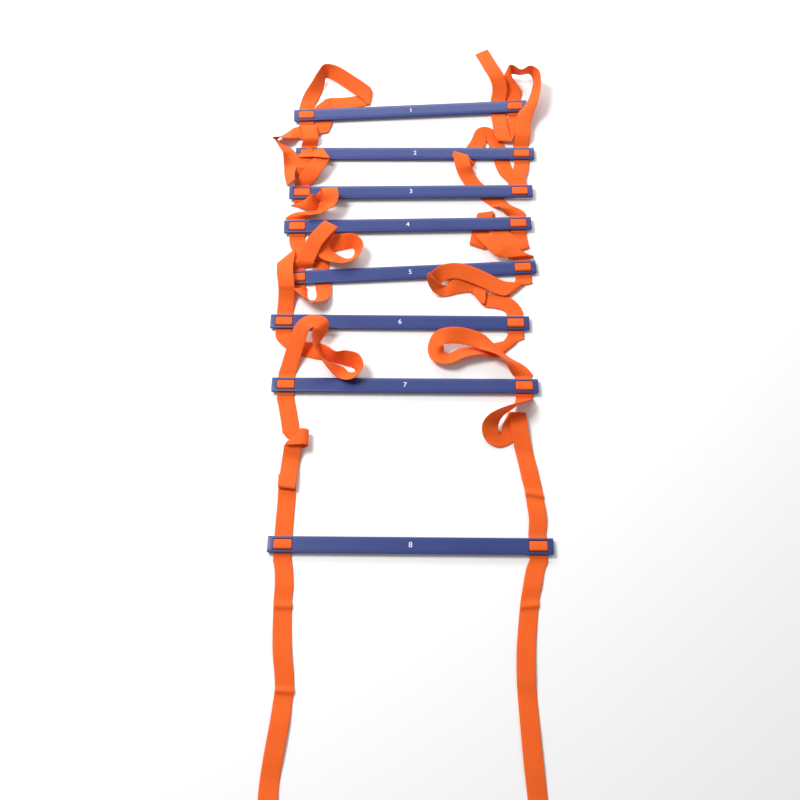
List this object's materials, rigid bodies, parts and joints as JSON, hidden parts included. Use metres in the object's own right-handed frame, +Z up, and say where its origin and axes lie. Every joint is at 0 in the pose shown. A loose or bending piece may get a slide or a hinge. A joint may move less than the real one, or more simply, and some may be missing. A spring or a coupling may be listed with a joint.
{
  "type": "agility ladder",
  "caption": "Agility ladder lying half unfolded: flat moulded rungs threaded on two webbing straps, slack webbing in loops between the bunched rungs.",
  "frame": {"origin": "on the floor, under the middle of the ladder's bounding box", "axes": "+Z up from the floor, +X to the right along the rungs, +Y along the ladder towards the bunched rungs"},
  "size_m": [0.4542, 1.2746, 0.0375],
  "materials": {
    "rung_plastic": "satin",
    "webbing": "woven"
  },
  "bodies": {
    "rung_1_body": {"left_webbing_at_rung_1": "webbing", "left_webbing_far_tail": "webbing", "right_webbing_at_rung_1": "webbing", "right_webbing_far_tail": "webbing", "rung_1": "rung_plastic"},
    "rung_2_body": {"left_webbing_1_to_2": "webbing", "left_webbing_at_rung_2": "webbing", "right_webbing_1_to_2": "webbing", "right_webbing_at_rung_2": "webbing", "rung_2": "rung_plastic"},
    "rung_3_body": {"left_webbing_2_to_3": "webbing", "left_webbing_at_rung_3": "webbing", "right_webbing_2_to_3": "webbing", "right_webbing_at_rung_3": "webbing", "rung_3": "rung_plastic"},
    "rung_4_body": {"left_webbing_3_to_4": "webbing", "left_webbing_at_rung_4": "webbing", "right_webbing_3_to_4": "webbing", "right_webbing_at_rung_4": "webbing", "rung_4": "rung_plastic"},
    "rung_5_body": {"left_webbing_4_to_5": "webbing", "left_webbing_at_rung_5": "webbing", "right_webbing_4_to_5": "webbing", "right_webbing_at_rung_5": "webbing", "rung_5": "rung_plastic"},
    "rung_6_body": {"left_webbing_5_to_6": "webbing", "left_webbing_at_rung_6": "webbing", "right_webbing_5_to_6": "webbing", "right_webbing_at_rung_6": "webbing", "rung_6": "rung_plastic"},
    "rung_7_body": {"left_webbing_6_to_7": "webbing", "left_webbing_at_rung_7": "webbing", "right_webbing_6_to_7": "webbing", "right_webbing_at_rung_7": "webbing", "rung_7": "rung_plastic"},
    "rung_8_body": {"left_webbing_7_to_8": "webbing", "left_webbing_at_rung_8": "webbing", "left_webbing_near_tail": "webbing", "right_webbing_7_to_8": "webbing", "right_webbing_at_rung_8": "webbing", "right_webbing_near_tail": "webbing", "rung_8": "rung_plastic"}
  },
  "joints": [
    {"name": "slide_rung_7", "type": "slide", "parent": "rung_8_body", "child": "rung_7_body", "axis": [0, 1, 0], "range_m": [-0.06, 0.06], "deforming": ["left_webbing_7_to_8", "right_webbing_7_to_8"]},
    {"name": "slide_rung_6", "type": "slide", "parent": "rung_7_body", "child": "rung_6_body", "axis": [0, 1, 0], "range_m": [-0.02, 0.03], "deforming": ["left_webbing_6_to_7", "right_webbing_6_to_7"]},
    {"name": "slide_rung_5", "type": "slide", "parent": "rung_6_body", "child": "rung_5_body", "axis": [0, 1, 0], "range_m": [-0.02, 0.03], "deforming": ["left_webbing_5_to_6", "right_webbing_5_to_6"]},
    {"name": "slide_rung_4", "type": "slide", "parent": "rung_5_body", "child": "rung_4_body", "axis": [0, 1, 0], "range_m": [-0.02, 0.03], "deforming": ["left_webbing_4_to_5", "right_webbing_4_to_5"]},
    {"name": "slide_rung_3", "type": "slide", "parent": "rung_4_body", "child": "rung_3_body", "axis": [0, 1, 0], "range_m": [-0.02, 0.03], "deforming": ["left_webbing_3_to_4", "right_webbing_3_to_4"]},
    {"name": "slide_rung_2", "type": "slide", "parent": "rung_3_body", "child": "rung_2_body", "axis": [0, 1, 0], "range_m": [-0.02, 0.03], "deforming": ["left_webbing_2_to_3", "right_webbing_2_to_3"]},
    {"name": "slide_rung_1", "type": "slide", "parent": "rung_2_body", "child": "rung_1_body", "axis": [0, 1, 0], "range_m": [-0.02, 0.03], "deforming": ["left_webbing_1_to_2", "right_webbing_1_to_2", "left_webbing_far_tail", "right_webbing_far_tail"]}
  ]
}
